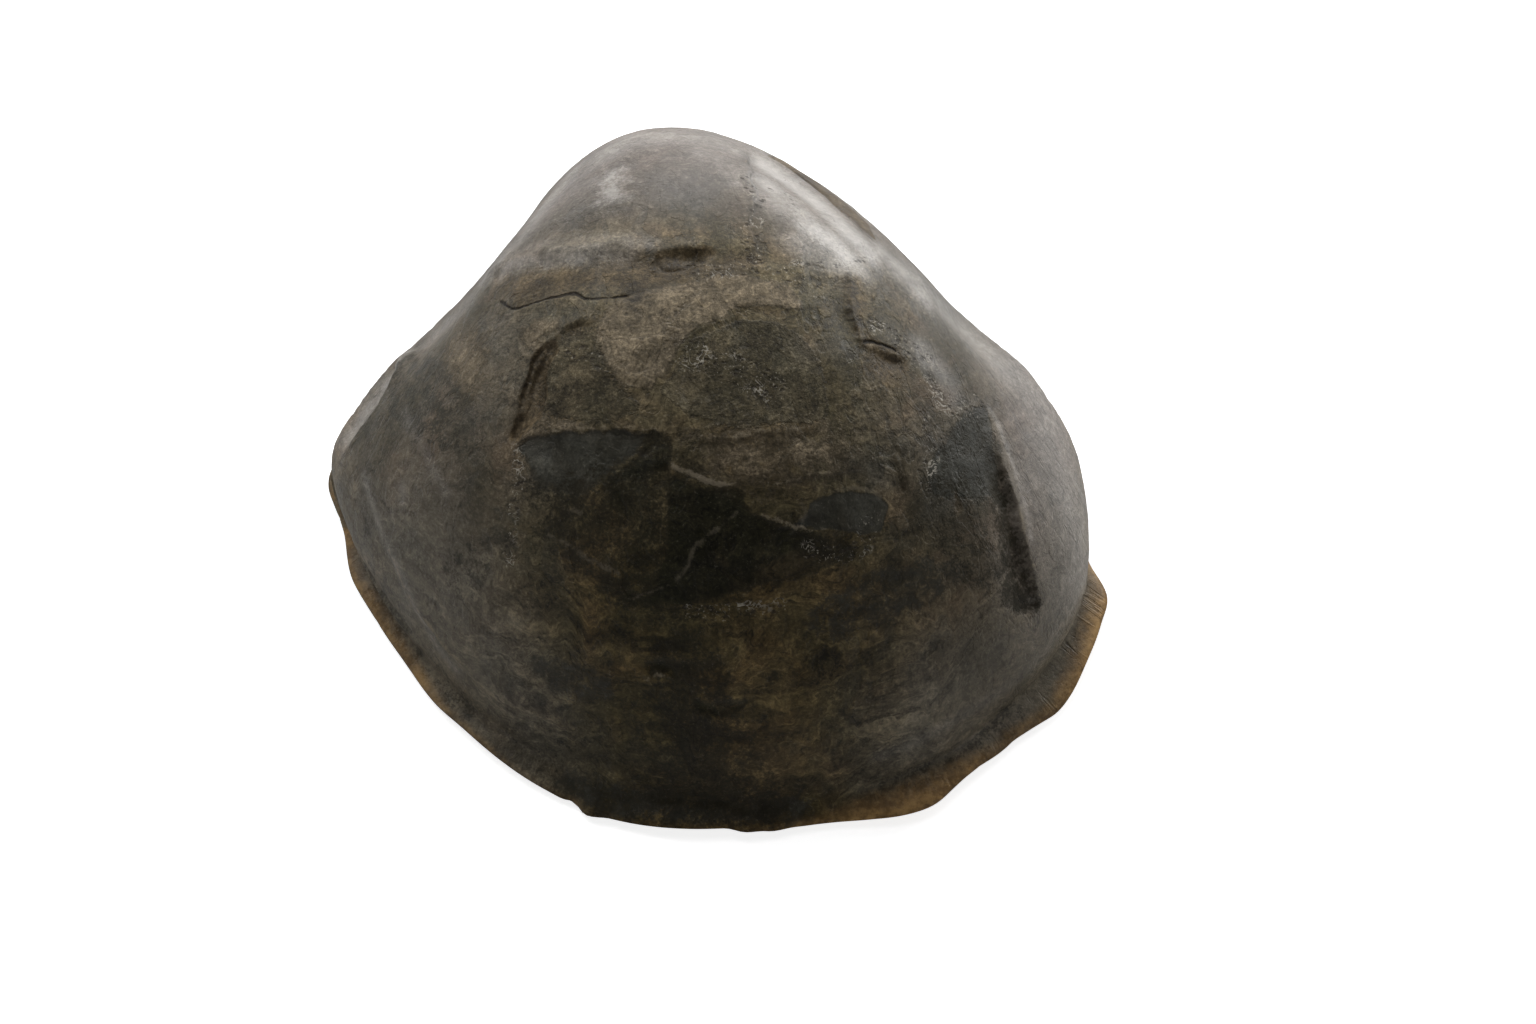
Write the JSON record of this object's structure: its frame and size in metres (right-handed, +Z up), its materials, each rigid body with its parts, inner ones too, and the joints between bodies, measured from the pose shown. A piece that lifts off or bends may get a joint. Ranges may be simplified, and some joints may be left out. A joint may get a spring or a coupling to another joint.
{
  "type": "brachiopod fossil",
  "caption": "Large fossil shell: one strongly humped valve with an incurved beak, flaking surface layers and a thin translucent rim, lying on its edge.",
  "frame": {"origin": "middle of the bounding box's base, on the surface the shell lies on", "axes": "+X to the right along the hinge line, +Y towards the beak, so the front edge faces -Y, +Z up"},
  "size_m": [0.124, 0.113, 0.0529],
  "materials": {
    "fossil_shell": "dark grey-brown petrified shell, satin, with slate-blue smooth patches, rough brown hollows and an amber rim"
  },
  "bodies": {
    "root": {"brachiopod_shell": "fossil_shell"}
  },
  "joints": []
}
